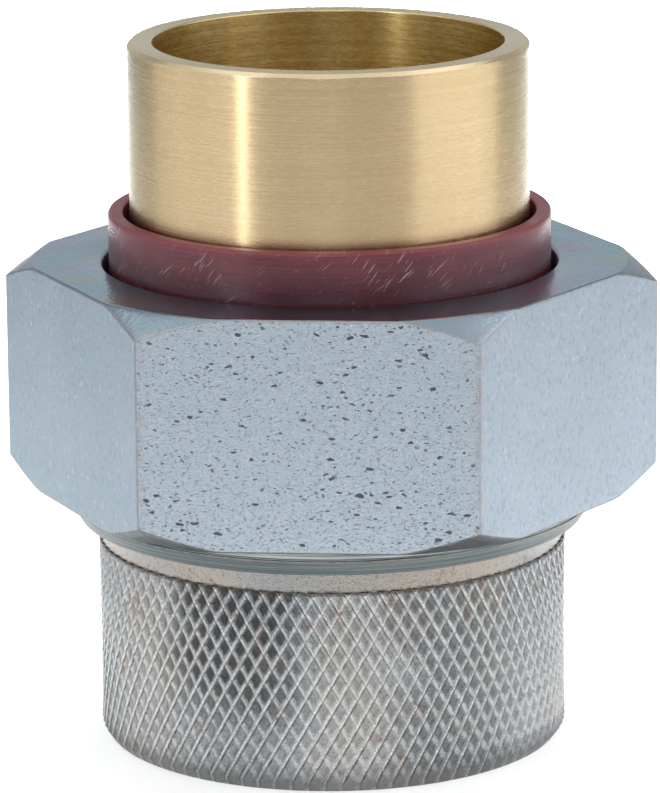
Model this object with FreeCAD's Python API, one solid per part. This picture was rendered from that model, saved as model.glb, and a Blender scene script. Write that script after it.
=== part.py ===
import FreeCAD, Part
import math
import os

# Dielectric pipe union, 1-1/2 inch: a soldered copper tube above, a female iron pipe thread below.
# Millimetres. +Z runs up the pipe axis, and the origin is the centre of the lower end face.

AXIS = FreeCAD.Vector(0, 0, 1)
CENTRE = FreeCAD.Vector(0, 0, 0)

# heights
seat_height = 45.5          # face that the gasket lies on, above the lower end
insulator_stand = 6.0       # sleeve above the nut
cup_stand = 20.1            # cup's rim above the sleeve
neck_show = 2.85            # plain neck between the nut and the knurl

# tailpiece
cup_radius = 20.7           # takes 41.3 mm copper tube
cup_depth = 27.7
cup_wall = 2.95
tube_stop = 1.7             # ledge that the tube's end meets
rim_chamfer = 0.45
flange_thickness = 3.0

# insulator
sleeve_wall = 1.8
sleeve_relief = 0.75        # space round the tailpiece above the fitted bore
relief_depth = 9.0
insulator_flange = 1.9
flange_hold = 1.3           # how far the flange reaches under the nut's lip
skirt_wall = 0.65
skirt_height = 4.4
sleeve_edge = 0.4

# gasket
gasket_thickness = 2.5
gasket_rim = 0.3            # the gasket stops this far inside the flange edge

# nut
hex_height = 27.2
hex_chamfer = 35.0          # degrees from the end faces, at the corners only
hex_overhang = 2.375        # flats beyond the collar
hex_land = 1.525            # circle where each chamfer starts, beyond the flats
collar_wall = 2.2
collar_height = 3.45
collar_side = 1.5           # straight part of the collar below the hexagon
collar_chamfer = 1.15       # radial, at its lower edge
lip_thickness = 4.2
lip_edge = 0.4

# nut thread, 12 threads to the inch, right-handed, drawn as plain walls at its pitch radius
thread_height = 1.3         # crest to root
screw_length = 15.2         # threaded top of the lower end
screw_point = 1.2           # chamfer at its tip
neck_relief = 1.25          # neck below the thread's pitch radius

# lower end
waterway_radius = 20.3
foot_land = 2.7             # flat end face
foot_chamfer = 0.8
foot_chamfer_height = 1.1

# female pipe thread, 1-1/2 inch NPT, drawn as a plain cone at its pitch radius
pipe_pitch_radius = 46.287 / 2   # at the end face
pipe_thread_length = 20.0
pipe_taper = 1 / 32         # change of radius per length
recess_margin = 1.3565      # plain lead-in beyond the pitch radius
recess_depth = 1.2

# clearances
swivel_gap = 0.10           # radial, tailpiece in the insulator
axial_gap = 0.10            # between stacked pieces that turn on each other
lip_gap = 0.20              # insulator's flange below the nut's lip
hole_gap = 0.70             # radial, sleeve in the nut's hole
rim_gap = 0.20              # radial, flange inside the skirt
skirt_gap = 0.25            # radial, skirt past the crests of the nut's thread
thread_fit = 0.15           # radial, between the two plain thread walls

# radii, from the cup outwards
tail_outer = cup_radius + cup_wall
fitted_bore = tail_outer + swivel_gap
relieved_bore = tail_outer + sleeve_relief
sleeve_outer = relieved_bore + sleeve_wall
lip_radius = sleeve_outer + hole_gap
skirt_outer = lip_radius + flange_hold
skirt_inner = skirt_outer - skirt_wall
flange_radius = skirt_inner - rim_gap
nut_bore = skirt_outer + skirt_gap + thread_height / 2
screw_radius = nut_bore - thread_fit
neck_radius = screw_radius - neck_relief
collar_radius = nut_bore + collar_wall
across_flats = 2 * (collar_radius + hex_overhang)
hex_flat_radius = across_flats / 2 + hex_land
recess_radius = pipe_pitch_radius + recess_margin
knurl_radius = recess_radius + foot_land + foot_chamfer

# heights, from the seat up and then down the nut
gasket_top = seat_height + gasket_thickness
flange_bottom = gasket_top + axial_gap
flange_top = flange_bottom + flange_thickness
insulator_bottom = flange_top + axial_gap
insulator_top = insulator_bottom + insulator_flange
lip_bottom = insulator_top + lip_gap
nut_top = lip_bottom + lip_thickness
sleeve_top = nut_top + insulator_stand
union_height = sleeve_top + cup_stand
hex_bottom = nut_top - hex_height
nut_bottom = hex_bottom - collar_height
knurl_top = nut_bottom - neck_show
screw_bottom = seat_height - screw_length


def turned(points):
    """Solid turned about the axis from (radius, height) points."""
    corners = [FreeCAD.Vector(radius, 0, height) for radius, height in points]
    outline = Part.makePolygon(corners + corners[:1])
    return Part.Face(outline).revolve(CENTRE, AXIS, 360)


def disc(radius, bottom, top):
    return Part.makeCylinder(radius, top - bottom, FreeCAD.Vector(0, 0, bottom), AXIS)


def tailpiece():
    cup_floor = union_height - cup_depth
    bore = cup_radius - tube_stop
    return turned([
        (bore, flange_bottom),
        (flange_radius, flange_bottom),
        (flange_radius, flange_top),
        (tail_outer, flange_top),
        (tail_outer, union_height - rim_chamfer),
        (tail_outer - rim_chamfer, union_height),
        (cup_radius, union_height),
        (cup_radius, cup_floor),
        (bore, cup_floor),
    ])


def insulator_sleeve():
    skirt_bottom = insulator_bottom - skirt_height
    return turned([
        (fitted_bore, insulator_bottom),
        (skirt_inner, insulator_bottom),
        (skirt_inner, skirt_bottom),
        (skirt_outer, skirt_bottom),
        (skirt_outer, insulator_top),
        (sleeve_outer, insulator_top),
        (sleeve_outer, sleeve_top - sleeve_edge),
        (sleeve_outer - sleeve_edge, sleeve_top),
        (relieved_bore, sleeve_top),
        (relieved_bore, sleeve_top - relief_depth),
        (fitted_bore, sleeve_top - relief_depth - sleeve_relief),
    ])


def gasket():
    ring = disc(flange_radius - gasket_rim, seat_height, gasket_top)
    return ring.cut(disc(waterway_radius, seat_height, gasket_top))


def hexagon():
    """Hexagonal bar with two flats square to Y."""
    corner_radius = across_flats / math.sqrt(3)
    corners = []
    for corner in range(7):
        angle = math.radians(60 * corner)
        x = corner_radius * math.cos(angle)
        y = corner_radius * math.sin(angle)
        corners.append(FreeCAD.Vector(x, y, hex_bottom))
    bar = Part.Face(Part.makePolygon(corners)).extrude(FreeCAD.Vector(0, 0, hex_height))
    drop = (corner_radius + 1 - hex_flat_radius) * math.tan(math.radians(hex_chamfer))
    return bar.common(turned([
        (0, hex_bottom),
        (hex_flat_radius, hex_bottom),
        (corner_radius + 1, hex_bottom + drop),
        (corner_radius + 1, nut_top - drop),
        (hex_flat_radius, nut_top),
        (0, nut_top),
    ]))


def union_nut():
    collar = turned([
        (0, nut_bottom),
        (collar_radius - collar_chamfer, nut_bottom),
        (collar_radius, hex_bottom - collar_side),
        (collar_radius, hex_bottom + 1),
        (0, hex_bottom + 1),
    ])
    bore = turned([
        (0, nut_bottom - 1),
        (nut_bore, nut_bottom - 1),
        (nut_bore, lip_bottom),
        (lip_radius, lip_bottom),
        (lip_radius, nut_top - lip_edge),
        (lip_radius + lip_edge, nut_top),
        (lip_radius + lip_edge, nut_top + 1),
        (0, nut_top + 1),
    ])
    return hexagon().fuse(collar).cut(bore)


def threaded_end():
    recess_wall = pipe_pitch_radius - pipe_taper * recess_depth
    deep_wall = pipe_pitch_radius - pipe_taper * pipe_thread_length
    return turned([
        (recess_radius, 0),
        (knurl_radius - foot_chamfer, 0),
        (knurl_radius, foot_chamfer_height),
        (knurl_radius, knurl_top),
        (neck_radius, knurl_top),
        (neck_radius, screw_bottom),
        (screw_radius, screw_bottom + screw_radius - neck_radius),
        (screw_radius, seat_height - screw_point),
        (screw_radius - screw_point, seat_height),
        (waterway_radius, seat_height),
        (waterway_radius, pipe_thread_length + deep_wall - waterway_radius),
        (deep_wall, pipe_thread_length),
        (recess_wall, recess_depth),
        (recess_radius, recess_depth),
    ])


os.makedirs("parts", exist_ok=True)
for piece in (tailpiece, insulator_sleeve, gasket, union_nut, threaded_end):
    solid = piece().Solids[0]
    solid.exportStep(f"parts/{piece.__name__}.step")
    print(piece.__name__, round(solid.Volume), "cubic mm")
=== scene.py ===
import math
import bpy
import bmesh
from mathutils import Matrix, Vector


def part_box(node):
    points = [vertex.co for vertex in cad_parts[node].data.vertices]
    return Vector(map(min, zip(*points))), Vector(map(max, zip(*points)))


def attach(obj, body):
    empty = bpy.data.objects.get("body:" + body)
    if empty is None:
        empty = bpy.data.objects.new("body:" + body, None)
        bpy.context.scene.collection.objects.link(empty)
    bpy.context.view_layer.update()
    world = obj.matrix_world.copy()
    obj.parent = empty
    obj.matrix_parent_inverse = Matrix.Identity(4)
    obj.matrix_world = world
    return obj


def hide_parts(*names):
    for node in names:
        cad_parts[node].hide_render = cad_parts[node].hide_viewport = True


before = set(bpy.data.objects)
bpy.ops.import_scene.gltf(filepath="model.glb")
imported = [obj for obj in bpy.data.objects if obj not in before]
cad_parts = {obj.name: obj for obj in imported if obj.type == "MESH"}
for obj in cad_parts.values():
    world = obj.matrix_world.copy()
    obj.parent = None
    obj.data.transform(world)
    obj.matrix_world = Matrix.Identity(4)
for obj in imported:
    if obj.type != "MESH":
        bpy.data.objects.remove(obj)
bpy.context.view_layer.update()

# Dielectric pipe union: brass solder cup, red plastic sleeve, gasket, knurled steel end and hexagon nut.
# The CAD gives the heights. Sizes in the dictionaries are in millimetres and lean angles in degrees.
# This script adds the threads, the knurl, soft edges, the finishes and the studio.

mm = 0.001
hardAngle = 38          # degrees between two faces, past which the edge is drawn sharp
nutLow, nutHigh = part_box("union_nut")
endLow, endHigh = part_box("threaded_end")
tailLow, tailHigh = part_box("tailpiece")
sleeveLow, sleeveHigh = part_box("insulator_sleeve")
gasketLow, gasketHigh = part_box("gasket")


def linear(code):
    # an sRGB hex colour as linear red, green, blue and alpha
    parts = [int(code[i:i + 2], 16) / 255 for i in (1, 3, 5)]
    return [c / 12.92 if c <= 0.04045 else ((c + 0.055) / 1.055) ** 2.4 for c in parts] + [1.0]


def add(tree, kind, *inputs, out=0, **settings):
    # Adds a node and returns one of its outputs, or all for None. A kind in capitals is a Math operation.
    # Inputs are values or sockets, in order or in a dictionary by name or number.
    if kind.isupper():
        settings["operation"] = kind
        kind = "Math"
    node = tree.nodes.new(kind if "Node" in kind else "ShaderNode" + kind)
    for name, value in settings.items():
        setattr(node, name, value)
    given = {}
    for index, source in enumerate(inputs):
        given.update(source if isinstance(source, dict) else {index: source})
    for key, source in given.items():
        if isinstance(source, bpy.types.NodeSocket):
            tree.links.new(source, node.inputs[key])
        else:
            node.inputs[key].default_value = source
    return node.outputs if out is None else node.outputs[out]


def softCorner(before, at, after, size, steps=4):
    # an arc in place of a corner, with a close ring on each side to hold the shading
    if size <= 0:
        return [tuple(at)]
    a = Vector(before) - Vector(at)
    b = Vector(after) - Vector(at)
    turn = a.angle(b)
    longest = 0.42      # share of a wall that one corner may take
    back = min(size / math.tan(turn / 2), longest * a.length, longest * b.length)
    reach = back * math.tan(turn / 2)
    close = min(0.05, back * 0.3)
    a.normalize()
    b.normalize()
    centre = Vector(at) + (a + b).normalized() * (reach / math.sin(turn / 2))
    start, end = Vector(at) + a * back, Vector(at) + b * back
    points = [tuple(start + a * close)]
    for i in range(steps + 1):
        mixed = (start - centre).lerp(end - centre, i / steps)
        points.append(tuple(centre + mixed.normalized() * reach))
    points.append(tuple(end + b * close))
    return points


def shadeMesh(mesh):
    mesh.shade_smooth()
    mesh.set_sharp_from_angle(angle=math.radians(hardAngle))


def makeObject(name, mesh):
    # merges doubles, faces the mesh outwards and puts it in the scene
    work = bmesh.new()
    work.from_mesh(mesh)
    bmesh.ops.remove_doubles(work, verts=work.verts, dist=0.0002 * mm)
    bmesh.ops.recalc_face_normals(work, faces=work.faces)
    work.to_mesh(mesh)
    work.free()
    shadeMesh(mesh)
    piece = bpy.data.objects.new(name, mesh)
    bpy.context.scene.collection.objects.link(piece)
    return piece


def section(points, columns):
    # Rings of a turned shape from its corners, each (r, z, corner size, side), once round the closed section.
    # side says how the wall to the next corner is divided and which weight its rings carry.
    count = len(points)
    corners = []
    for i, point in enumerate(points):
        corners.append(softCorner(points[i - 1][:2], point[:2], points[(i + 1) % count][:2], point[2]))
    rings = []
    for i, point in enumerate(points):
        rings += [{"r": r, "z": z, "columns": columns} for r, z in corners[i]]
        if len(point) < 4:
            continue
        side = point[3]
        start, end = Vector(corners[i][-1]), Vector(corners[(i + 1) % count][0])
        if "rise" in side:      # rows an exact height apart, as a thread needs
            rise = side["rise"] / abs(end.y - start.y)
            shares = [k * rise for k in range(1, int(1 / rise + 0.5))]
        else:
            pieces = max(1, round((end - start).length / side["step"]))
            shares = [k / pieces for k in range(pieces + 1)]
        for share in shares:
            r, z = start.lerp(end, share)
            rings.append({"r": r, "z": z, "columns": side.get("columns", columns),
                          side["carries"]: side["weight"](share)})
    return rings


def ringMesh(name, rings):
    # joins the rings, and where one has a whole number of times more columns, its extra points too
    coords, faces, starts = [], [], []
    weights = {"knurlWeight": [], "threadWeight": [], "pipeWeight": []}
    for ring in rings:
        starts.append(len(coords))
        for i in range(ring["columns"]):
            turn = 2 * math.pi * i / ring["columns"]
            coords.append((ring["r"] * mm * math.cos(turn), ring["r"] * mm * math.sin(turn), ring["z"] * mm))
        for key, values in weights.items():
            values += [ring.get(key, 0.0)] * ring["columns"]
    for k, ring in enumerate(rings):
        after = (k + 1) % len(rings)
        here, there = (ring["columns"], starts[k]), (rings[after]["columns"], starts[after])
        (few, fewStart), (many, manyStart) = sorted((here, there), key=lambda each: each[0])
        ratio = many // few
        for i in range(few):
            if few == many:
                j = (i + 1) % few
                faces.append((here[1] + i, here[1] + j, there[1] + j, there[1] + i))
            else:
                edge = [manyStart + (ratio * i + s) % many for s in range(ratio + 1)]
                faces.append([fewStart + (i + 1) % few, fewStart + i] + edge)
    mesh = bpy.data.meshes.new(name)
    mesh.from_pydata(coords, [], faces)
    for key, values in weights.items():
        if any(values):
            mesh.attributes.new(key, "FLOAT", "POINT").data.foreach_set("value", values)
    return makeObject(name, mesh)


def applyTree(piece, tree, values):
    # runs a node tree once and keeps the result as a plain mesh
    modifier = piece.modifiers.new(tree.name, "NODES")
    modifier.node_group = tree
    for item in tree.interface.items_tree:
        if item.item_type == "SOCKET" and item.in_out == "INPUT" and item.name in values:
            modifier[item.identifier] = values[item.name]
    depsgraph = bpy.context.evaluated_depsgraph_get()
    made = bpy.data.meshes.new_from_object(
        piece.evaluated_get(depsgraph), preserve_all_data_layers=True, depsgraph=depsgraph)
    piece.modifiers.clear()
    piece.data = made
    shadeMesh(made)


def startTree(name, inputs):
    # opens a tree, and finds each point's turn round the axis from 0 to 1, its height and its outward way
    tree = bpy.data.node_groups.new(name, "GeometryNodeTree")
    tree.interface.new_socket("Geometry", in_out="INPUT", socket_type="NodeSocketGeometry")
    for label, value in inputs.items():
        socket = tree.interface.new_socket(label, in_out="INPUT", socket_type="NodeSocketFloat")
        socket.default_value = value
    tree.interface.new_socket("Finish", in_out="INPUT", socket_type="NodeSocketMaterial")
    tree.interface.new_socket("Geometry", in_out="OUTPUT", socket_type="NodeSocketGeometry")
    given = add(tree, "NodeGroupInput", out=None)
    x, y, z = add(tree, "SeparateXYZ", add(tree, "GeometryNodeInputPosition"), out=None)
    turn = add(tree, "DIVIDE", add(tree, "ARCTAN2", y, x), 2 * math.pi)
    away = add(tree, "VectorMath", add(tree, "CombineXYZ", x, y), operation="NORMALIZE")
    return tree, given, turn, z, away


def endTree(tree, given, away, shift, kept, amount, rise=0.0, split=None):
    # moves each point along its radius, and up, keeps an amount on it as an attribute, and closes the tree
    upward = add(tree, "CombineXYZ", 0.0, 0.0, rise)
    offset = add(tree, "VectorMath", away, shift, upward, operation="MULTIPLY_ADD")
    mesh = add(tree, "GeometryNodeSetPosition", {"Geometry": given["Geometry"], "Offset": offset})
    if split is not None:
        # each face on a ridge is cut along its shorter diagonal, which lies along the helix
        mesh = add(tree, "GeometryNodeTriangulate", {"Mesh": mesh, "Selection": split},
                   quad_method="SHORTEST_DIAGONAL")
    mesh = add(tree, "GeometryNodeStoreNamedAttribute", {"Geometry": mesh, "Name": kept, "Value": amount},
               data_type="FLOAT", domain="POINT")
    mesh = add(tree, "GeometryNodeRealizeInstances", mesh)
    mesh = add(tree, "GeometryNodeSetMaterial", {"Geometry": mesh, "Material": given["Finish"]})
    add(tree, "NodeGroupOutput", mesh, out=None)
    return tree


def threadTree(name, weight, kept):
    # a helical V thread: one ridge a pitch, right-handed, on walls that carry the weight
    tree, given, turn, z, away = startTree(
        name, {"Pitch": 2 * mm, "Height": 1 * mm, "Phase": 0.0, "Flat": 0.06, "Rows": 12.0})
    grows = add(tree, "GeometryNodeInputNamedAttribute", weight, data_type="FLOAT")
    threaded = add(tree, "GREATER_THAN", grows, 0.001)
    # each point first slides up or down to the nearest line that follows the helix, so crests stay even
    row = add(tree, "DIVIDE", given["Pitch"], given["Rows"])
    lines = add(tree, "SUBTRACT", add(tree, "DIVIDE", z, row), add(tree, "MULTIPLY", turn, given["Rows"]))
    past = add(tree, "SUBTRACT", add(tree, "FRACT", add(tree, "ADD", lines, 0.5)), 0.5)
    rise = add(tree, "MULTIPLY", add(tree, "MULTIPLY", past, threaded), add(tree, "MULTIPLY", row, -1.0))
    along = add(tree, "DIVIDE", add(tree, "ADD", z, rise), given["Pitch"])
    phase = add(tree, "FRACT", add(tree, "ADD", add(tree, "SUBTRACT", along, turn), given["Phase"]))
    wave = add(tree, "ABSOLUTE", add(tree, "MULTIPLY_ADD", phase, 2.0, -1.0))
    slope = add(tree, "SUBTRACT", 1.0, add(tree, "MULTIPLY", given["Flat"], 2.0))
    grown = add(tree, "DIVIDE", add(tree, "SUBTRACT", wave, given["Flat"]), slope, use_clamp=True)
    ridge = add(tree, "MULTIPLY", grown, grows)
    shift = add(tree, "MULTIPLY", ridge, given["Height"])
    return endTree(tree, given, away, shift, kept, ridge, rise, threaded)


def fade(share, part=0.06):
    # a thread's weight along its wall: it grows in over a part at one end and out at the other
    return max(0.0, min(1.0, share / part, (1 - share) / part))


def startFinish(name, settings):
    finish = bpy.data.materials.new(name)
    finish.use_nodes = True
    for key, value in settings.items():
        finish.node_tree.nodes["Principled BSDF"].inputs[key].default_value = value
    return finish, finish.node_tree, add(finish.node_tree, "TexCoord", out="Object")


def endFinish(finish, sources):
    for key, source in sources.items():
        finish.node_tree.links.new(source, finish.node_tree.nodes["Principled BSDF"].inputs[key])
    return finish


def noise(tree, where, size, detail=2.0, rough=0.5, stretch=(1, 1, 1), turn=(0, 0, 0)):
    # clouds with blobs of this size in mm, turned and then stretched: a way under 1 is drawn out longer
    scale = [s / (size * mm) for s in stretch]
    turned = add(tree, "Mapping", {"Vector": where, "Rotation": turn})
    mapped = add(tree, "Mapping", {"Vector": turned, "Scale": scale})
    return add(tree, "TexNoise", {"Vector": mapped, "Scale": 1.0, "Detail": detail, "Roughness": rough})


def painted(tree, tone, *coats):
    # lays coats on a tone, each (source, start, full, amount, colour): it shows by that amount where the
    # source is past full, and not at all before start
    for source, start, full, amount, colour in coats:
        share = add(tree, "MapRange", source, start, full, 0.0, amount)
        below, above = [linear(c) if isinstance(c, str) else c for c in (tone, colour)]
        tone = add(tree, "Mix", {0: share, 6: below, 7: above}, out=2, data_type="RGBA")
    return tone


def band(tree, source, start, full, fades, gone):
    # 1 from full to fades, down to 0 at start and gone
    rises = add(tree, "MapRange", source, start, full)
    return add(tree, "MULTIPLY", rises, add(tree, "MapRange", source, gone, fades))


def fromAxis(tree, where):
    level = add(tree, "VectorMath", where, (1, 1, 0), operation="MULTIPLY")
    return add(tree, "VectorMath", level, operation="LENGTH", out="Value")


def fromFront(tree, where):
    # angle round the axis from the front, in radians, so a pattern on it meets itself at the back
    x, y, _ = add(tree, "SeparateXYZ", where, out=None)
    return add(tree, "ARCTAN2", x, add(tree, "MULTIPLY", y, -1.0))


def zincTone(tree, where, dark, pale, film):
    # clear chromate over zinc: thin films of rose and straw that drift over the blue-grey metal
    drift = noise(tree, where, 16.0)
    tint = noise(tree, where, 9.0, stretch=(1, 1, 1.6))
    return painted(tree, dark, (drift, 0.35, 0.65, 1, pale), (tint, 0.56, 0.72, film, "#C4B6C8"),
                   (tint, 0.44, 0.30, film, "#BFC6B4"))


tail = {
    "outer": 23.65, "cup": 20.7, "bore": 19.0, "flange": 27.35, "cupDepth": 27.7, "flangeThick": 3.0,
    "rimChamfer": 0.45, "columns": 256,
    "brass": "#EACD9D", "brassPale": "#F4DBB1", "paintedEdgeShade": "#837A58", "rim": "#F8E9C2",
    "inside": "#E6C987", "insidePale": "#F5E0A2",
}


def turnedBrass():
    # Yellow brass, finish-turned in a lathe: fine rings that smear every reflection up and down.
    # Real turning marks are under 0.1 mm apart. They are drawn at 0.15 and 0.22 mm, so that they show.
    finish, tree, where = startFinish(
        "turnedBrass", {"Metallic": 1.0, "Anisotropic": 0.8, "Anisotropic Rotation": 0.25})
    rings = noise(tree, where, 0.15, 2.0, 0.6, (0.003, 0.003, 1))
    grain = noise(tree, where, 0.22, 2.0, 0.6, (0.16, 0.16, 1))
    wide = noise(tree, where, 2.2, 2.0, 0.5, (0.004, 0.004, 1))
    cloud = noise(tree, where, 16.0, 3.0, 0.55)
    marks = add(tree, "MULTIPLY_ADD", grain, 0.45, add(tree, "MULTIPLY", rings, 0.55))
    upright = add(tree, "SeparateXYZ", add(tree, "TexCoord", out="Normal"), out=2)
    # painted shade: the upright brass walls are painted darker towards their edges, where they turn away from view
    wall = add(tree, "MapRange", add(tree, "ABSOLUTE", upright), 0.3, 0.1)
    facing = add(tree, "LayerWeight", 0.35, out="Facing")
    paintedEdgeShade = add(tree, "MULTIPLY", add(tree, "MapRange", facing, 0.25, 0.7), wall)
    # painted light: the inside of the cup gets its own yellower brass tone, standing in for the golden light
    # bounced round the hollow
    hollow = add(tree, "LESS_THAN", fromAxis(tree, where), (tail["cup"] + 0.5) * mm)
    inside = painted(tree, tail["inside"], (marks, 0.4, 0.6, 1, tail["insidePale"]))
    tone = painted(tree, tail["brass"],
                   (marks, 0.36, 0.64, 1, tail["brassPale"]),
                   (wide, 0.35, 0.65, 0.15, "#E8CA98"),
                   (cloud, 0.45, 0.75, 0.2, "#CDB07C"),
                   # painted shade towards the edges of the walls
                   (paintedEdgeShade, 0, 1, 0.85, tail["paintedEdgeShade"]),
                   (hollow, 0, 1, 1, inside),
                   # painted light: faces that look upwards, the rim and its chamfer, are painted paler
                   (upright, 0.4, 0.8, 0.7, tail["rim"]))
    return endFinish(finish, {
        "Base Color": tone,
        "Roughness": add(tree, "MapRange", marks, 0.3, 0.7, 0.22, 0.32),
        "Normal": add(tree, "Bump", {"Strength": 0.4, "Distance": 0.009 * mm, "Height": marks}),
        "Tangent": add(tree, "Tangent", direction_type="RADIAL", axis="Z"),
    })


def makeTailpiece():
    d = tail
    low, high = tailLow.z / mm, tailHigh.z / mm
    floor = high - d["cupDepth"]
    piece = ringMesh("solder_cup", section([
        (d["bore"], low, 0.15),
        (d["flange"], low, 0.2),
        (d["flange"], low + d["flangeThick"], 0.2),
        (d["outer"], low + d["flangeThick"], 0.1),
        (d["outer"], high - d["rimChamfer"], 0.12),
        (d["outer"] - d["rimChamfer"], high, 0.12),
        (d["cup"], high, 0.15),
        (d["cup"], floor, 0.15),
        (d["bore"], floor, 0.15),
    ], d["columns"]))
    piece.data.materials.append(turnedBrass())
    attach(piece, "tail")
    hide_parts("tailpiece")
    print("tailpiece made")


sleeve = {
    "outer": 26.2, "relief": 24.4, "bore": 23.75, "skirtOut": 28.2, "skirtIn": 27.55, "flange": 1.9,
    "skirt": 4.4, "reliefDepth": 9.0, "reliefStep": 0.7, "edge": 0.4, "columns": 256,
    "red": "#652B38", "redPale": "#7D3D48", "rings": "#8E5057", "lit": "#96404A", "shade": "#3A1822",
    "rubs": "#D2BEC0", "dust": "#B98F86",
    # rub marks: how stretched, lean in radians, size of the zones they lie in, and how few there are
    "marks": ((0.075, 0.85, 7.0, 0.645), (0.06, 0.62, 11.0, 0.655)),
}


def mouldedNylon():
    # Glass-filled nylon, moulded and then turned to size: low gloss, faint rings and pale rub marks.
    # The turning marks are drawn at 0.24 mm, coarser than real ones, so that they show.
    finish, tree, where = startFinish("mouldedRedNylon", {"Metallic": 0.0, "IOR": 1.53})
    d = sleeve
    z = add(tree, "SeparateXYZ", where, out=2)
    around = add(tree, "MULTIPLY", fromFront(tree, where), d["outer"] * mm)
    flat = add(tree, "CombineXYZ", around, z)
    rings = noise(tree, where, 0.24, 2.0, 0.5, (0.02, 0.02, 1))
    cloud = noise(tree, where, 6.0, 3.0, 0.6)
    dust = noise(tree, where, 0.4, 2.0, 0.6)
    rubbed = 0.0
    for length, lean, zone, edge in d["marks"]:
        lines = noise(tree, flat, 0.22, 1.0, 0.5, (1, length, 1), (0, 0, lean))
        zones = add(tree, "MapRange", noise(tree, flat, zone, 1.5), 0.46, 0.62)
        lines = add(tree, "MULTIPLY", add(tree, "MapRange", lines, edge, edge + 0.05), zones)
        rubbed = add(tree, "MAXIMUM", rubbed, lines)
    tone = painted(tree, d["red"],
                   (cloud, 0.3, 0.7, 1, d["redPale"]),
                   (rings, 0.4, 0.75, 0.5, d["rings"]),
                   (rubbed, 0, 1, 0.7, d["rubs"]),
                   (z, sleeveHigh.z - 1.3 * mm, sleeveHigh.z - 0.1 * mm, 0.65, d["lit"]),
                   (z, nutHigh.z + 3.8 * mm, nutHigh.z + 0.5 * mm, 0.6, d["shade"]),
                   (dust, 0.68, 0.74, 0.5, d["dust"]))
    return endFinish(finish, {
        "Base Color": tone,
        "Roughness": add(tree, "MapRange", rings, 0.3, 0.7, 0.26, 0.42),
        "Normal": add(tree, "Bump", {"Strength": 0.5, "Distance": 0.03 * mm, "Height": rings}),
    })


def makeInsulator():
    d = sleeve
    low, high = sleeveLow.z / mm, sleeveHigh.z / mm
    under = low + d["skirt"]
    piece = ringMesh("insulating_sleeve", section([
        (d["bore"], under, 0.1),
        (d["skirtIn"], under, 0.1),
        (d["skirtIn"], low, 0.12),
        (d["skirtOut"], low, 0.12),
        (d["skirtOut"], under + d["flange"], 0.2),
        (d["outer"], under + d["flange"], 0.15),
        (d["outer"], high, d["edge"]),
        (d["relief"], high, 0.3),
        (d["relief"], high - d["reliefDepth"], 0.2),
        (d["bore"], high - d["reliefDepth"] - d["reliefStep"], 0.1),
    ], d["columns"]))
    piece.data.materials.append(mouldedNylon())
    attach(piece, "insulator")
    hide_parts("insulator_sleeve")
    print("insulator made")


gasket = {"outer": 27.05, "inner": 20.3, "columns": 160, "black": "#1B1B1D", "bloom": "#2B2B2D"}


def mouldedRubber():
    # EPDM, compression-moulded: black and dull, with a faint bloom
    finish, tree, where = startFinish("mouldedEpdmRubber", {"Metallic": 0.0, "IOR": 1.52})
    bloom = noise(tree, where, 2.5, 3.0, 0.6)
    grain = noise(tree, where, 0.3)
    return endFinish(finish, {
        "Base Color": painted(tree, gasket["black"], (bloom, 0.3, 0.7, 1, gasket["bloom"])),
        "Roughness": add(tree, "MapRange", bloom, 0.3, 0.7, 0.6, 0.75),
        "Normal": add(tree, "Bump", {"Strength": 0.4, "Distance": 0.04 * mm, "Height": grain}),
    })


def makeGasket():
    low, high = gasketLow.z / mm, gasketHigh.z / mm
    piece = ringMesh("sealing_gasket", section([
        (gasket["inner"], low, 0.25),
        (gasket["outer"], low, 0.25),
        (gasket["outer"], high, 0.35),
        (gasket["inner"], high, 0.35),
    ], gasket["columns"]))
    piece.data.materials.append(mouldedRubber())
    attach(piece, "lower_end")
    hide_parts("gasket")
    print("gasket made")


# the nut's thread and the screw that fits it: gap is between their crests and roots
thread = {"pitch": 25.4 / 12, "height": 1.3, "gap": 0.3, "root": 28.15, "flat": 0.06}

lowerEnd = {
    "knurl": 28.0, "knurlTop": 24.0, "teeth": 88, "knurlDepth": 0.45, "lean": 30.0, "uneven": 0.9,
    "seed": 7.0, "neck": 27.7, "foot": 0.8, "footHeight": 1.1, "bore": 20.3, "screwLength": 15.2, "screwLead": 0.5,
    "recess": 24.5, "recessDepth": 1.2, "pipePitch": 25.4 / 11.5, "pipeHeight": 1.62, "pipeRoot": 23.95,
    "pipeTaper": 1 / 32, "pipeLength": 20.0, "pipeFlat": 0.05,
    "columns": 176, "knurlColumns": 704, "knurlStep": 0.29, "screwRows": 12, "pipeRows": 9,
    "zinc": "#A9AFB3", "zincPale": "#C0C6CA", "crest": "#F1F2F0", "pocket": "#3C3E40", "crestShadow": "#35383B",
    "rust": "#8A5F42", "stepDark": "#4A4038", "neckZinc": "#A9ABA8", "neckWarm": "#B5ABA0",
    "threadRootShade": "#84898B", "threadCrest": "#D3D7D9",
}


def knurlTurns():
    # how many teeth one line passes on its way from the foot to the top
    d = lowerEnd
    rise = d["knurlTop"] - d["footHeight"]
    return rise * math.tan(math.radians(d["lean"])) / (2 * math.pi * d["knurl"]) * d["teeth"]


def knurlLine(tree, turn, height, teeth, passed, way):
    # one set of leaning lines: 1 on a crest, 0 midway between two crests
    climb = add(tree, "MULTIPLY", add(tree, "MULTIPLY", height, passed), way)
    phase = add(tree, "FRACT", add(tree, "ADD", add(tree, "MULTIPLY", turn, teeth), climb))
    return add(tree, "SUBTRACT", 1.0, add(tree, "ABSOLUTE", add(tree, "MULTIPLY_ADD", phase, 2.0, -1.0)))


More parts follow.
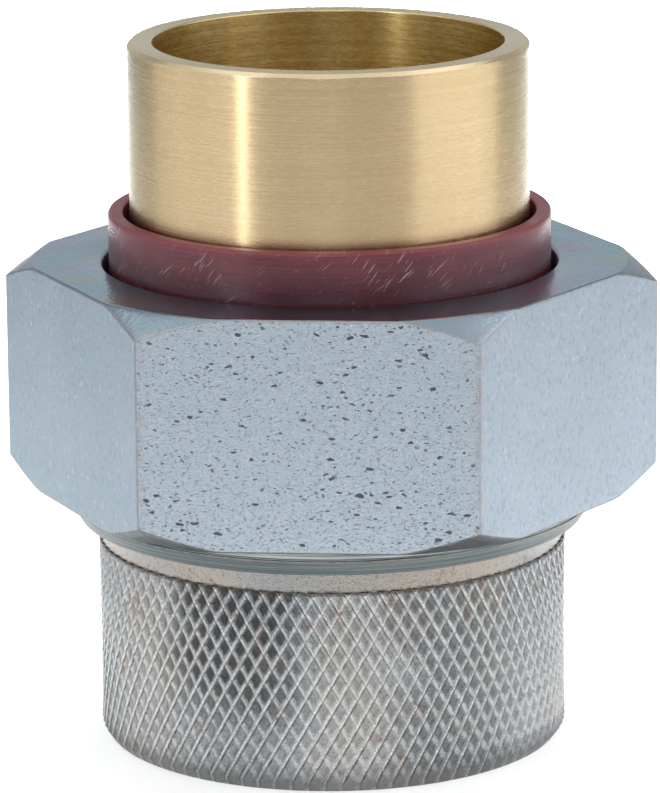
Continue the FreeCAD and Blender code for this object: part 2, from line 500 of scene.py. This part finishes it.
def knurlTree():
    # two sets of rolled ridges that cross: one fades towards the foot, the other towards the top
    tree, given, turn, z, away = startTree("rollKnurl", {
        "Teeth": 88.0, "Depth": 0.4 * mm, "Lean": 2.5, "Low": 0.0, "High": 24 * mm, "Uneven": 0.2,
        "Seed": 7.0})
    height = add(tree, "DIVIDE", add(tree, "SUBTRACT", z, given["Low"]),
                 add(tree, "SUBTRACT", given["High"], given["Low"]), use_clamp=True)
    patch = add(tree, "TexNoise", {
        "Vector": add(tree, "GeometryNodeInputPosition"), "W": given["Seed"], "Scale": 90.0, "Detail": 2.0,
    }, noise_dimensions="4D")
    worn = add(tree, "MULTIPLY", add(tree, "SUBTRACT", patch, 0.5), given["Uneven"])
    pocket = 1.0
    for way, atFoot, atTop in ((1.0, 0.05, 1.0), (-1.0, 1.0, 0.35)):
        vee = knurlLine(tree, turn, height, given["Teeth"], given["Lean"], way)
        ridge = add(tree, "MULTIPLY_ADD", vee, 1.7, -0.7, use_clamp=True)
        grown = add(tree, "MULTIPLY_ADD", height, atTop - atFoot, atFoot)
        share = add(tree, "ADD", grown, worn, use_clamp=True)
        between = add(tree, "SUBTRACT", 1.0, add(tree, "MULTIPLY", ridge, share))
        pocket = add(tree, "MULTIPLY", pocket, between)
    weight = add(tree, "GeometryNodeInputNamedAttribute", "knurlWeight", data_type="FLOAT")
    cut = add(tree, "MULTIPLY", pocket, weight, use_clamp=True)
    inward = add(tree, "MULTIPLY", add(tree, "MULTIPLY", cut, given["Depth"]), -1.0)
    return endTree(tree, given, away, inward, "cut", cut)


def platedKnurl():
    # Zinc over a rolled diamond knurl: crests painted bright as a highlight, rougher pockets painted dark as
    # shade, brown bleed where the plate is thin.
    # The grit of the plate is drawn at 0.3 mm, coarser than it is, so that it shows.
    finish, tree, where = startFinish("zincPlatedKnurl", {"Metallic": 1.0})
    d = lowerEnd
    top = d["knurlTop"]
    x, y, z = add(tree, "SeparateXYZ", where, out=None)
    turn = add(tree, "DIVIDE", add(tree, "ARCTAN2", y, x), 2 * math.pi)
    height = add(tree, "MapRange", z, d["footHeight"] * mm, top * mm)
    away = fromAxis(tree, where)
    below = add(tree, "MapRange", z, top * mm, (top - 0.2) * mm)
    rolled = add(tree, "MULTIPLY", below, add(tree, "GREATER_THAN", away, (d["knurl"] - 1.0) * mm))
    grit = noise(tree, where, 0.3, 3.0, 0.7)
    coarse = noise(tree, where, 0.75, 3.0, 0.7)
    warm = noise(tree, where, 11.0, 3.0, 0.6)
    freckle = noise(tree, where, 0.45, 3.0, 0.7)
    # both sets of lines again, drawn finer than the mesh can hold: a painted highlight on each crest, painted
    # shade on the floors between, and a painted shadow line just past each crest
    ragged = add(tree, "MULTIPLY_ADD", coarse, 0.5, -0.25)
    crest, floor, crestShadow = 0.0, 1.0, 0.0
    for way, start, full, least in ((1.0, 0.1, 0.85, 0.1), (-1.0, 1.0, 0.4, 0.4)):
        share = add(tree, "MapRange", height, start, full, least, 1.0)
        line = add(tree, "ADD", knurlLine(tree, turn, height, d["teeth"], knurlTurns(), way), ragged)
        sharp = add(tree, "MULTIPLY", add(tree, "MapRange", line, 0.80, 1.0), share)
        crest = add(tree, "MAXIMUM", crest, sharp)
        floor = add(tree, "MULTIPLY", floor, add(tree, "MapRange", line, 0.72, 0.48))
        past = add(tree, "ADD", turn, way * 0.17 / d["teeth"])
        line = knurlLine(tree, past, height, d["teeth"], knurlTurns(), way)
        crestShadow = add(tree, "MAXIMUM", crestShadow, add(tree, "MULTIPLY", add(tree, "MapRange", line, 0.84, 0.95), share))
    crestShadow = add(tree, "MULTIPLY", crestShadow, add(tree, "MapRange", coarse, 0.3, 0.6, 0.25, 0.8))
    # double tracking near the top, where the roller ran twice
    double = knurlLine(tree, turn, height, 2 * d["teeth"], 2 * knurlTurns(), 1.0)
    twin = add(tree, "MULTIPLY", add(tree, "MapRange", double, 0.3, 0.1),
               add(tree, "MapRange", height, 0.35, 0.8, 0.0, 0.45))
    # broad patches by angle round from the front, with ragged edges: painted shade in a zone left of the front,
    # higher up, and a fainter one on the right; painted highlight at the front and further left
    front = add(tree, "ADD", fromFront(tree, where), add(tree, "MULTIPLY_ADD", warm, 0.5, -0.25))
    left = add(tree, "MULTIPLY", band(tree, front, -0.68, -0.5, -0.22, -0.02),
               add(tree, "MapRange", height, 0.22, 0.5))
    right = add(tree, "MULTIPLY", band(tree, front, 0.32, 0.5, 0.82, 1.02), 0.45)
    paintedShadeZones = add(tree, "MAXIMUM", left, right)
    paintedHighlightZones = add(tree, "MAXIMUM", band(tree, front, -1.2, -1.0, -0.75, -0.55),
                 band(tree, front, -0.1, 0.1, 0.25, 0.45))
    # the painted shade in the pockets is deeper in the painted shade zones
    pocketShadeAmount = add(tree, "MULTIPLY_ADD", paintedShadeZones, 0.55, 0.32)
    onKnurl = [add(tree, "MULTIPLY", each, rolled) for each in (crest, floor, twin, crestShadow)]
    # the plain faces and both threads
    crests = add(tree, "MAXIMUM", add(tree, "Attribute", attribute_name="threadCrest", out="Fac"),
                 add(tree, "Attribute", attribute_name="pipeCrest", out="Fac"))
    # the cut threads: painted shade in the roots and a painted highlight on the crests, following the height of
    # each ridge
    cutThread = painted(tree, d["threadRootShade"], (crests, 0.0, 0.9, 1, d["threadCrest"]),
                        (freckle, 0.57, 0.66, 0.7, "#6F6C68"))
    screwLow = endHigh.z - d["screwLength"] * mm
    plain = painted(tree, d["neckZinc"], (warm, 0.35, 0.6, 1, d["neckWarm"]),
                    (freckle, 0.57, 0.66, 0.7, "#6F665E"),
                    (z, screwLow - 0.1 * mm, screwLow + 0.1 * mm, 1, cutThread))
    inner = add(tree, "LESS_THAN", away, (d["recess"] + 0.2) * mm)
    rust = add(tree, "MULTIPLY", add(tree, "MapRange", noise(tree, where, 2.6, 4.0, 0.65), 0.56, 0.68),
               add(tree, "MapRange", noise(tree, where, 0.6), 0.42, 0.6))
    # a dark ragged line along the step below the neck
    jag = add(tree, "MULTIPLY_ADD", noise(tree, where, 0.5, 3.0), 0.9 * mm, -0.45 * mm)
    seam = add(tree, "ABSOLUTE", add(tree, "ADD", add(tree, "SUBTRACT", z, (top - 0.1) * mm), jag))
    tone = painted(tree, zincTone(tree, where, d["zinc"], d["zincPale"], 0.2),
                   # painted highlight and painted shade in broad zones round the front
                   (paintedHighlightZones, 0, 1, 0.5, "#DAD8D2"),
                   (paintedShadeZones, 0, 1, 0.6, "#7C8083"),
                   (grit, 0.42, 0.7, 0.5, "#E2E2E0"),
                   (grit, 0.48, 0.3, 0.55, "#6E6F70"),
                   (warm, 0.52, 0.70, 0.35, "#C9BBA6"),
                   # painted shade on the pocket floors between the crests
                   (add(tree, "MULTIPLY", onKnurl[1], pocketShadeAmount), 0, 1, 1, d["pocket"]),
                   (onKnurl[2], 0, 1, 1, "#5A5C5E"),
                   # painted highlight on the crests, and after it a painted shadow line just past each crest
                   (onKnurl[0], 0, 1, 0.8, d["crest"]),
                   (onKnurl[3], 0, 1, 1, d["crestShadow"]),
                   (z, (top - 0.1) * mm, (top + 0.1) * mm, 0.9, plain),
                   (inner, 0, 1, 1, cutThread),
                   (rust, 0, 1, 0.7, d["rust"]),
                   # painted shade: darker towards the foot, where the knurl stands on the floor
                   (z, 3.2 * mm, 0.9 * mm, 0.75, "#6C6D6C"),
                   (seam, 0.42 * mm, 0.12 * mm, 0.75, d["stepDark"]))
    raised = 0.0
    for pattern, share in zip(onKnurl, (1.0, -0.6, -1.0)):
        raised = add(tree, "MULTIPLY_ADD", pattern, share, raised)
    lines = add(tree, "Bump", {"Strength": 0.55, "Distance": 0.16 * mm, "Height": raised})
    cut = add(tree, "Attribute", attribute_name="cut", out="Fac")
    rough = add(tree, "MapRange", cut, 0.0, 1.0, 0.25, 0.46)
    return endFinish(finish, {
        "Base Color": tone,
        "Roughness": add(tree, "MULTIPLY_ADD", crest, -0.08, rough),
        "Normal": add(tree, "Bump", {"Strength": 0.7, "Distance": 0.09 * mm, "Normal": lines,
                                     "Height": add(tree, "ADD", grit, coarse)}),
    })


def topWeight(share):
    return 1.0 - 0.45 * max(0.0, (share - 0.97) / 0.03)     # the roller runs out shallower at the top


def footWeight(share):
    return 0.9 * share


def makeLowerEnd():
    d = lowerEnd
    low, high = endLow.z / mm, endHigh.z / mm
    screwLow = high - d["screwLength"]
    root = thread["root"]
    deep = d["pipeRoot"] - d["pipeTaper"] * d["pipeLength"]
    knurlSide = {"step": d["knurlStep"], "columns": d["knurlColumns"], "carries": "knurlWeight"}
    screwSide = {"rise": thread["pitch"] / d["screwRows"], "carries": "threadWeight", "weight": fade}
    pipeSide = {"rise": d["pipePitch"] / d["pipeRows"], "carries": "pipeWeight", "weight": fade}
    rings = section([
        (d["recess"], low, 0.15),
        (d["knurl"] - d["foot"], low, 0.0, {**knurlSide, "step": 0.3, "weight": footWeight}),
        (d["knurl"], low + d["footHeight"], 0.0, {**knurlSide, "weight": topWeight}),
        (d["knurl"], d["knurlTop"], 0.0),
        (d["neck"], d["knurlTop"], 0.0),
        (d["neck"], screwLow, 0.1),
        (root, screwLow + 0.45, 0.0, screwSide),
        (root, high - d["screwLead"], 0.1),
        (root - d["screwLead"], high, 0.15),
        (d["bore"], high, 0.2),
        (d["bore"], d["pipeLength"] + deep - d["bore"], 0.2),
        (deep, d["pipeLength"], 0.1, pipeSide),
        (d["pipeRoot"] - d["pipeTaper"] * d["recessDepth"], d["recessDepth"], 0.0),
        (d["recess"], d["recessDepth"], 0.1),
    ], d["columns"])
    # the two knurl corners are given again by their own fine rings
    rings = [ring for ring in rings if ring["columns"] != d["columns"] or abs(ring["r"] - d["knurl"]) > 1e-6]
    piece = ringMesh("knurled_end", rings)
    zinc = platedKnurl()
    applyTree(piece, knurlTree(), {
        "Teeth": float(d["teeth"]), "Depth": d["knurlDepth"] * mm, "Lean": knurlTurns(), "Seed": d["seed"],
        "Low": d["footHeight"] * mm, "High": d["knurlTop"] * mm, "Uneven": d["uneven"], "Finish": zinc})
    applyTree(piece, threadTree("cutScrew", "threadWeight", "threadCrest"), {
        "Pitch": thread["pitch"] * mm, "Height": thread["height"] * mm, "Phase": 0.0, "Flat": thread["flat"],
        "Rows": float(d["screwRows"]), "Finish": zinc})
    applyTree(piece, threadTree("cutPipeThread", "pipeWeight", "pipeCrest"), {
        "Pitch": d["pipePitch"] * mm, "Height": -d["pipeHeight"] * mm, "Phase": 0.0, "Flat": d["pipeFlat"],
        "Rows": float(d["pipeRows"]), "Finish": zinc})
    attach(piece, "lower_end")
    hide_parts("threaded_end")
    print("lower end made,", len(piece.data.polygons), "faces")


nut = {
    "flats": 67.35, "hexHeight": 27.2, "chamfer": 35.0, "land": 35.2, "cornerRound": 0.5, "edgeSoft": 0.28,
    "collar": 31.3, "collarSide": 1.5, "collarFoot": 30.15, "hole": 26.9, "holeEdge": 0.4, "lip": 4.2,
    "threadLow": 1.4, "threadPast": 1.2, "threadRows": 10,
    "drawn": "#96A8B3", "drawnPale": "#A6B3C1", "rolled": "#C5D3DF", "pit": "#333A44", "skin": "#DDE5EB",
    "faced": "#9DC6D4", "facedPale": "#B2C4DA", "chamferZinc": "#8FA3AE", "chamferPale": "#A9B4C2",
    "undersideShade": "#55656B", "collarZinc": "#7D8888", "collarPale": "#D2D8D2", "worn": "#AE9A94",
    # two sizes of pit on the rolled flats: the cell each may lie in, across and up in mm, the share of cells
    # left smooth, and the largest radius as a share of a cell
    "pits": ((1.7, 0.72, 0.52, 0.34), (0.8, 0.38, 0.25, 0.36)),
}


def platedNut():
    # Mild steel hexagon bar, zinc-plated: two pitted as-rolled flats, the others drawn smooth, faced ends.
    # The drawn grain is really far under 0.1 mm wide. It is drawn at 0.35 mm, so that it shows.
    finish, tree, where = startFinish("zincPlatedHexagon", {"Metallic": 1.0})
    d = nut
    x, y, z = add(tree, "SeparateXYZ", where, out=None)
    _, facingY, facingZ = add(tree, "SeparateXYZ", add(tree, "TexCoord", out="Normal"), out=None)
    flat = d["flats"] / 2
    rolled = add(tree, "MULTIPLY", add(tree, "MapRange", add(tree, "ABSOLUTE", facingY), 0.93, 0.985),
                 add(tree, "MapRange", add(tree, "ABSOLUTE", y), (flat - 0.375) * mm, (flat - 0.175) * mm))
    ends = add(tree, "MapRange", facingZ, 0.55, 0.75)
    turned = add(tree, "LESS_THAN", z, nutHigh.z - d["hexHeight"] * mm)
    # drawn flats: painted light, darker towards -X and paler towards +X, with an upright grain, pale flecks and a
    # faint orange peel
    grain = noise(tree, where, 0.35, 3.0, 0.6, (1, 1, 0.07))
    fleck = noise(tree, where, 0.5, 3.0, 0.7, (1, 1, 0.5))
    peel = noise(tree, where, 0.6, 3.0, 0.6, (1, 1, 0.8))
    side = 22 * mm
    # pits on the rolled flats: small cells bent out of line, each with a pit of its own size, or none
    bend = add(tree, "TexNoise", {"Vector": where, "Scale": 1 / (1.1 * mm), "Detail": 2.0}, out=1)
    bent = add(tree, "VectorMath", bend, (0.9 * mm, 0.9 * mm, 0.9 * mm), where, operation="MULTIPLY_ADD")
    pits = []
    for size, tall, least, largest in d["pits"]:
        scale = (1 / (size * mm), 1 / (size * mm), 1 / (tall * mm))
        spot = add(tree, "Mapping", {"Vector": bent, "Scale": scale, "Rotation": (0, 0.3, 0)})
        cell = add(tree, "TexVoronoi", {"Vector": spot, "Scale": 1.0}, out=None)
        radius = add(tree, "MapRange", add(tree, "SeparateColor", cell["Color"]), least, 1.0, 0.0, largest)
        pits.append(add(tree, "MapRange", add(tree, "SUBTRACT", radius, cell["Distance"]), 0.0, 0.05))
    deep = add(tree, "MAXIMUM", pits[0], add(tree, "MULTIPLY", pits[1], 0.8))
    fine = noise(tree, where, 0.3, 3.0, 0.65, (0.75, 0.75, 1.3))
    fine = add(tree, "MapRange", fine, 0.53, 0.65, 0.0, 0.6)
    # the pits and fine specks, dented in the bump, are painted dark: partly their own darker colour and partly
    # painted shade inside them
    dark = add(tree, "MULTIPLY", add(tree, "MAXIMUM", deep, fine), rolled)
    skin = noise(tree, where, 0.42, 4.0, 0.72, (0.7, 0.7, 1.15))
    pale = add(tree, "MULTIPLY", add(tree, "MapRange", skin, 0.42, 0.62), rolled)
    # painted highlight: small white glints on the rolled flats
    glint = noise(tree, where, 0.26, 2.0, 0.5, (1, 1, 1), (0.7, 0.2, 0.4))
    glint = add(tree, "MULTIPLY", add(tree, "MapRange", glint, 0.70, 0.74), rolled)
    # faced ends: thin films of colour, duller on the chamfer
    film = noise(tree, where, 12.0, 1.5)
    tint = noise(tree, where, 8.0, turn=(0.4, 0, 0.9))
    faced = painted(tree, d["faced"],
                    (film, 0.38, 0.62, 1, d["facedPale"]),
                    (tint, 0.55, 0.68, 0.6, "#BFA3C6"),
                    (tint, 0.42, 0.32, 0.5, "#C2C79E"))
    end = painted(tree, d["chamferZinc"],
                  (film, 0.3, 0.7, 1, d["chamferPale"]),
                  (facingZ, 0.9, 0.96, 1, faced))
    rings = noise(tree, where, 0.28, 3.0, 0.7, (0.01, 0.01, 1))
    # the collar: turned rings, and painted shade on its faces that turn downwards
    collar = painted(tree, d["collarZinc"], (rings, 0.42, 0.62, 1, d["collarPale"]),
                     (facingZ, -0.1, -0.4, 0.75, "#525D61"))
    # edges rubbed through to a brownish pink
    wear = add(tree, "MULTIPLY", add(tree, "Attribute", attribute_name="edge", out="Fac"),
               add(tree, "MapRange", noise(tree, where, 1.1, 3.0), 0.40, 0.58))
    tone = painted(tree, zincTone(tree, where, d["drawn"], d["drawnPale"], 0.2),
                   # painted light: the flats darker towards -X and paler towards +X
                   (x, side, -side, 0.5, "#7F97A2"),
                   (x, -side, side, 0.5, "#BAC5D0"),
                   (grain, 0.3, 0.7, 0.3, "#AEBAC5"),
                   (fleck, 0.58, 0.70, 0.6, "#D5DCE2"),
                   (peel, 0.48, 0.34, 0.35, "#788896"),
                   (rolled, 0, 1, 1, d["rolled"]),
                   (pale, 0, 1, 0.5, d["skin"]),
                   (dark, 0, 1, 0.85, d["pit"]),
                   (glint, 0, 1, 1, "#FFFFFF"),
                   (ends, 0, 1, 1, end),
                   # painted shade on faces that look downwards, under the hexagon
                   (facingZ, -0.15, -0.45, 1, d["undersideShade"]),
                   (turned, 0, 1, 1, collar),
                   (wear, 0, 1, 0.45, d["worn"]))
    height = 0.0
    for pattern, share in ((peel, 0.9), (dark, -1.4), (add(tree, "MULTIPLY", skin, rolled), 1.3),
                           (add(tree, "MULTIPLY", rings, turned), 0.8)):
        height = add(tree, "MULTIPLY_ADD", pattern, share, height)
    rough = add(tree, "MapRange", fleck, 0.3, 0.7, 0.28, 0.42)
    return endFinish(finish, {
        "Base Color": tone,
        "Roughness": add(tree, "MULTIPLY_ADD", ends, -0.16, rough),
        "Normal": add(tree, "Bump", {"Strength": 0.75, "Distance": 0.07 * mm, "Height": height}),
    })


def fromCorner(turn):
    # angle from the nearest corner of the hexagon, which has corners on the X axis
    return (turn + math.pi / 6) % (math.pi / 3) - math.pi / 6


def hexRadius(turn):
    # distance from the axis to the hexagon with rounded corners
    apothem, size = nut["flats"] / 2, nut["cornerRound"]
    off = fromCorner(turn)
    straight = apothem / math.cos(math.pi / 6 - abs(off))
    centre = (apothem - size) / math.cos(math.pi / 6)
    inside = size ** 2 - (centre * math.sin(off)) ** 2
    arcEnds = math.atan2(size / 2, centre + size * math.cos(math.pi / 6))
    if inside <= 0 or abs(off) >= arcEnds:
        return straight
    return centre * math.cos(off) + math.sqrt(inside)


def nutTurns():
    # the angles of the nut's columns: close together at the corners and where the chamfer crosses a flat
    meets = math.degrees(math.acos(nut["flats"] / 2 / nut["land"]))
    near = (0.1, 0.2, 0.3, 0.42, 0.6, 0.9)
    angles = [-a for a in near] + [0] + list(near) + list(range(2, 59))
    angles += [30 - meets - 0.4, 30 - meets, 30 + meets, 30 + meets + 0.4]
    return sorted(side * math.pi / 3 + math.radians(a) for side in range(6) for a in angles)


def nutColumn(turn):
    # the nut's section at one angle, once round: (radius, height, edge wear, thread weight)
    d = nut
    low, high = nutLow.z / mm, nutHigh.z / mm
    hexLow, lipLow = high - d["hexHeight"], high - d["lip"]
    slope = math.tan(math.radians(d["chamfer"]))
    hole, edge, soft = d["hole"], d["holeEdge"], d["edgeSoft"]
    radius = hexRadius(turn)
    corner = math.exp(-(abs(fromCorner(turn)) * radius / 0.5) ** 2)     # wear fades 0.5 mm from a corner
    inner = radius - soft - 0.06
    land = min(d["land"], inner - 0.2)

    def drop(r):
        return max(0.0, r - d["land"]) * slope      # how far the chamfer has fallen at a radius

    wall = [(hole, lipLow + 0.1, 0), (hole, high - edge - 0.05, 0), (hole + 0.08, high - edge + 0.1, 0.6),
            (hole + edge - 0.1, high - 0.06, 0.6), (hole + edge + 0.08, high, 0.2)]
    # the top face, out to the chamfer's end
    wall += [(land - 3.0, high, 0), (land - 0.6, high, 0), (land - 0.1, high - 0.003, 0.15)]
    wall.append((land + 0.1, high - drop(land + 0.1) - 0.003, 0.15))
    for share in (0.35, 0.7):
        r = land + 0.1 + (inner - land - 0.1) * share
        wall.append((r, high - drop(r), 0))
    # a flat between its two soft edges, which lean with the chamfer towards the corners
    topRim, lowRim = high - drop(radius - soft), hexLow + drop(radius - soft)
    lean = (drop(radius) - drop(radius - soft)) / soft
    rim = []
    for across, down, worn in ((0.0, 0.0, 0.6), (0.45, 0.07, 1), (0.78, 0.32, 1), (0.95, 0.68, 1),
                               (1.0, 1.0, 0.7)):
        rim.append((radius - soft + soft * across, soft * (across * lean + down * (1 - lean * 0.5)), worn))
    wall += [(r, topRim - fall, worn) for r, fall, worn in rim]
    wall += [(radius, topRim - soft * 1.5, corner), (radius, topRim - 1.4, corner)]
    wall += [(radius, topRim + (lowRim - topRim) * share, corner) for share in (0.25, 0.5, 0.75)]
    wall += [(radius, lowRim + 1.4, corner), (radius, lowRim + soft * 1.5, corner)]
    wall += [(r, lowRim + fall, worn) for r, fall, worn in reversed(rim)]
    # the underside, from the chamfer in to the collar
    start = (d["land"], 0.15) if radius - soft > d["land"] + 0.3 else (inner - 0.1, 0)
    for r, worn in (start, (d["collar"] + 1.2, 0), (d["collar"] + 0.25, 0)):
        wall.append((r, hexLow + drop(r), worn))
    # the collar, with a fine turned groove low on its side
    side = hexLow - d["collarSide"]
    for out, z, worn in ((0.05, hexLow - 0.06, 0.2), (0, hexLow - 0.25, 0), (0, side + 0.22, 0),
                         (-0.16, side + 0.1, 0), (-0.16, side + 0.02, 0), (-0.01, side - 0.04, 1),
                         (-0.04, side - 0.14, 1), (-0.16, side - 0.34, 0)):
        wall.append((d["collar"] + out, z, worn))
    wall += [(d["collarFoot"] + 0.12, low + 0.22, 0), (d["collarFoot"] + 0.02, low + 0.05, 0.5),
             (d["collarFoot"] - 0.1, low, 0.2)]
    # the thread's wall, in rows an exact share of the pitch apart, and the lip above it
    root = thread["root"] + thread["height"] + thread["gap"]
    threadLow, rowStep = low + d["threadLow"], thread["pitch"] / d["threadRows"]
    rows = int((endHigh.z / mm + d["threadPast"] - threadLow) / rowStep)
    wall += [(root + 0.12, low, 0), (root, low + 0.12, 0), (root, threadLow - 0.05, 0)]
    column = [(r, z, worn, 0) for r, z, worn in wall]
    column += [(root, threadLow + row * rowStep, 0, fade(row / rows, 0.05)) for row in range(rows + 1)]
    column += [(root, lipLow - 0.25, 0, 0), (root - 0.1, lipLow - 0.02, 0, 0), (root - 0.3, lipLow, 0, 0),
               (hole + 0.1, lipLow, 0, 0)]
    return column


def makeNut():
    turns = nutTurns()
    coords, edges, weights, faces = [], [], [], []
    for turn in turns:
        column = nutColumn(turn)
        for r, z, worn, weight in column:
            coords.append((r * mm * math.cos(turn), r * mm * math.sin(turn), z * mm))
            edges.append(worn)
            weights.append(weight)
    size = len(column)
    for i in range(len(turns)):
        here, there = i * size, (i + 1) % len(turns) * size
        for k in range(size):
            after = (k + 1) % size
            faces.append((here + k, there + k, there + after, here + after))
    mesh = bpy.data.meshes.new("hexagon_nut")
    mesh.from_pydata(coords, [], faces)
    mesh.attributes.new("edge", "FLOAT", "POINT").data.foreach_set("value", edges)
    mesh.attributes.new("threadWeight", "FLOAT", "POINT").data.foreach_set("value", weights)
    piece = makeObject("hexagon_nut", mesh)
    applyTree(piece, threadTree("cutNutThread", "threadWeight", "threadCrest"), {
        "Pitch": thread["pitch"] * mm, "Height": -thread["height"] * mm, "Phase": 0.5, "Flat": thread["flat"],
        "Rows": float(nut["threadRows"]), "Finish": platedNut()})
    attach(piece, "nut")
    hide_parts("union_nut")
    print("nut made,", len(piece.data.polygons), "faces")


makeTailpiece()
makeInsulator()
makeGasket()
makeLowerEnd()
makeNut()


# the camera's place in mm from the object's foot, its angles in degrees, and the floor's size in metres
studio = {
    "distance": 569.2, "height": 181.5, "pitch": 13.92, "roll": 0.46, "around": 4.51, "aside": 0.12,
    "lens": 223.0, "floorSize": 12.0, "floor": "#F4F4F4",
}


def makeCamera():
    spin = Matrix.Rotation(math.radians(studio["around"]), 3, "Z")
    place = spin @ Vector((-studio["aside"], -studio["distance"], studio["height"])) * mm
    pitch, roll = math.radians(studio["pitch"]), math.radians(studio["roll"])
    ahead = spin @ Vector((0, math.cos(pitch), -math.sin(pitch)))
    right = spin @ Vector((1, 0, 0))
    up = right.cross(ahead)
    rolledRight = right * math.cos(roll) - up * math.sin(roll)
    rolledUp = right * math.sin(roll) + up * math.cos(roll)
    data = bpy.data.cameras.new("studioCamera")
    data.lens = studio["lens"]
    data.sensor_width = 36.0
    data.clip_start, data.clip_end = 0.01, 100.0
    camera = bpy.data.objects.new("studioCamera", data)
    turned = Matrix((rolledRight, rolledUp, -ahead)).transposed().to_4x4()
    camera.matrix_world = Matrix.Translation(place) @ turned
    bpy.context.scene.collection.objects.link(camera)
    bpy.context.scene.camera = camera
    print("camera placed")


def makeFloor():
    # a white paper floor, and a collection of it alone for the lamps that light nothing else
    size = studio["floorSize"] / 2
    mesh = bpy.data.meshes.new("studioFloor")
    corners = [(-size, -size, 0), (size, -size, 0), (size, size, 0), (-size, size, 0)]
    mesh.from_pydata(corners, [], [(0, 1, 2, 3)])
    floor = bpy.data.objects.new("studioFloor", mesh)
    bpy.context.scene.collection.objects.link(floor)
    paper = startFinish("whitePaperSweep", {"Base Color": linear(studio["floor"]), "Roughness": 0.9})[0]
    mesh.materials.append(paper)
    floorOnly = bpy.data.collections.new("floorOnly")
    floorOnly.objects.link(floor)
    print("floor made")
    return floorOnly


light = {
    "room": 0.27, "roomBehind": 0.55, "roomTint": "#F3F6FA",
    # each lamp in metres and watts: place, aim, size, power, and its spread if it lights the floor alone
    "lamps": {
        "boxLeft": ((-0.27, -0.06, 0.2), (0, -0.03, 0.05), (0.40, 0.42), 0.22, None),
        "stripLeft": ((-0.235, -0.245, 0.2), (0, 0, 0.05), (0.03, 0.42), 0.19, None),
        "boxRight": ((0.28, -0.05, 0.2), (0, -0.03, 0.05), (0.42, 0.42), 0.45, None),
        "floorWash": ((0, 0.42, 0.60), (0, 0.42, 0), (0.16, 0.60), 1.9, 60),
        "floorPool": ((0, 0.02, 0.50), (0, 0.02, 0), (0.16, 0.16), 0.055, 50),
        "front": ((0.02, -0.62, 0.46), (0, 0, 0.05), (0.26, 0.26), 0.42, None),
        "overhead": ((0, 0, 0.9), (0, 0, 0.05), (1.2, 1.2), 2.6, None),
    },
}


def makeWorld():
    # a soft room, brighter low down behind the object
    world = bpy.data.worlds.new("studioWorld")
    bpy.context.scene.world = world
    world.use_nodes = True
    tree = world.node_tree
    _, y, z = add(tree, "SeparateXYZ", add(tree, "TexCoord", out="Generated"), out=None)
    behind = add(tree, "MapRange", y, -0.3, 0.9)
    behind = add(tree, "MULTIPLY", behind, add(tree, "MapRange", z, 0.75, 0.15))
    background = tree.nodes["Background"]
    background.inputs["Color"].default_value = linear(light["roomTint"])
    level = add(tree, "MapRange", behind, 0.0, 1.0, light["room"], light["roomBehind"])
    tree.links.new(level, background.inputs["Strength"])


def makeLamps(floorOnly):
    for name, (place, aim, size, power, spread) in light["lamps"].items():
        data = bpy.data.lights.new(name, "AREA")
        data.shape = "RECTANGLE"
        data.size, data.size_y = size
        data.energy = power
        lamp = bpy.data.objects.new(name, data)
        lamp.location = place
        lamp.rotation_mode = "QUATERNION"
        lamp.rotation_quaternion = (Vector(aim) - Vector(place)).to_track_quat("-Z", "Y")
        lamp.visible_camera = False
        if spread is not None:
            data.spread = math.radians(spread)
            lamp.light_linking.receiver_collection = floorOnly
            lamp.light_linking.blocker_collection = floorOnly
        bpy.context.scene.collection.objects.link(lamp)
    print("lamps placed")


makeCamera()
floorAlone = makeFloor()
makeWorld()
makeLamps(floorAlone)
bpy.context.scene.view_settings.view_transform = "Standard"
